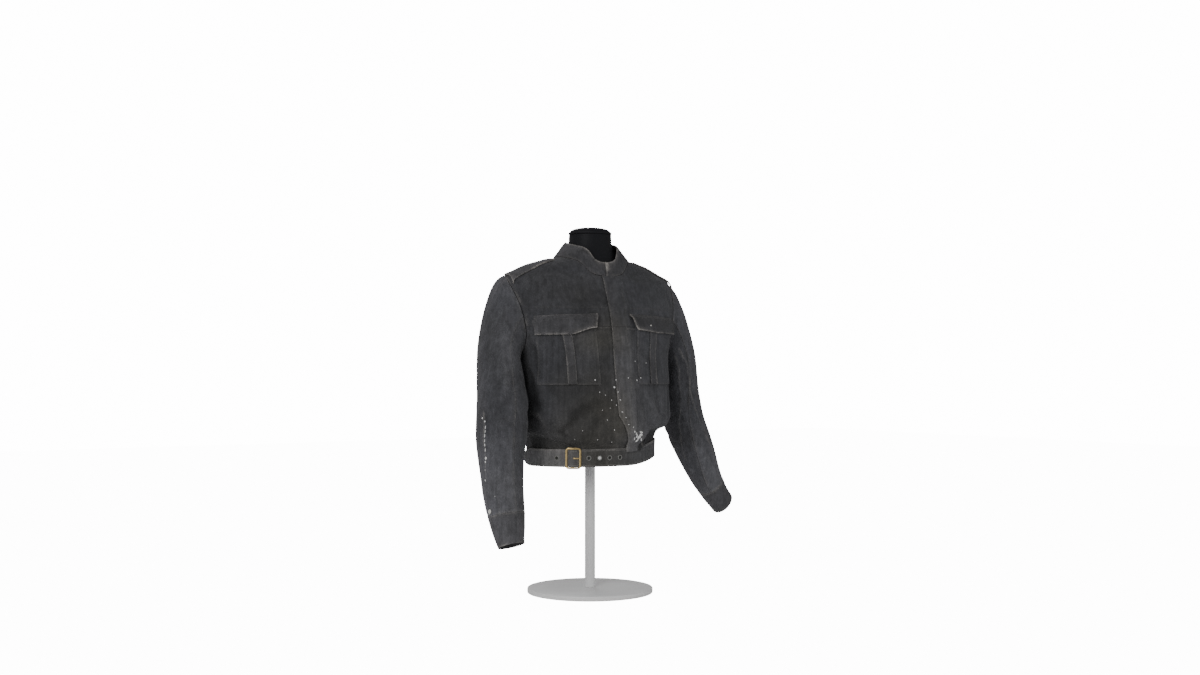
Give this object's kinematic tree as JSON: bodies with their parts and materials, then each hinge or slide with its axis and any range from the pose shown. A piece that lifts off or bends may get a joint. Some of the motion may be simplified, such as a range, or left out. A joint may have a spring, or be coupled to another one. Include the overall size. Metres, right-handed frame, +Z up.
{
  "type": "military blouson on a dress form",
  "caption": "Waist-length military blouson with stand collar, shoulder straps, flapped chest pockets and a buckled waist belt, on a limbless neck form.",
  "frame": {"origin": "centre of the base plate's underside, on the floor", "axes": "+Z up; the garment's front faces -Y and the wearer's left is at +X"},
  "size_m": [0.7979, 0.3, 0.8713],
  "materials": {
    "cloth_grey": "worn matte drill",
    "cloth_trim": "worn matte drill, paler at the edges",
    "cloth_band": "matte drill",
    "brass": "dull brass",
    "eyelet_metal": "dull nickel",
    "button_white": "matte",
    "form_black": "satin black",
    "stand_white": "matte white paint"
  },
  "bodies": {
    "root": {"back": "cloth_grey", "front_right": "cloth_grey", "front_left": "cloth_grey", "yoke_right": "cloth_grey", "yoke_left": "cloth_grey", "sleeve_top_right": "cloth_grey", "sleeve_top_left": "cloth_grey", "sleeve_under_right": "cloth_grey", "sleeve_under_left": "cloth_grey", "pocket_right": "cloth_grey", "pocket_left": "cloth_grey", "collar": "cloth_trim", "cuff_right": "cloth_trim", "cuff_left": "cloth_trim", "pleat_right": "cloth_trim", "pleat_left": "cloth_trim", "flap_right": "cloth_trim", "flap_left": "cloth_trim", "epaulette_right": "cloth_trim", "epaulette_left": "cloth_trim", "waistband": "cloth_band", "belt": "cloth_band", "belt_buckle": "brass", "buckle_prong": "brass", "eyelet_1": "eyelet_metal", "eyelet_2": "eyelet_metal", "eyelet_3": "eyelet_metal", "eyelet_4": "eyelet_metal", "eyelet_5": "eyelet_metal", "sleeve_button": "button_white", "form_torso": "form_black", "neck_cap": "form_black", "pole": "stand_white", "base_plate": "stand_white"}
  },
  "joints": []
}
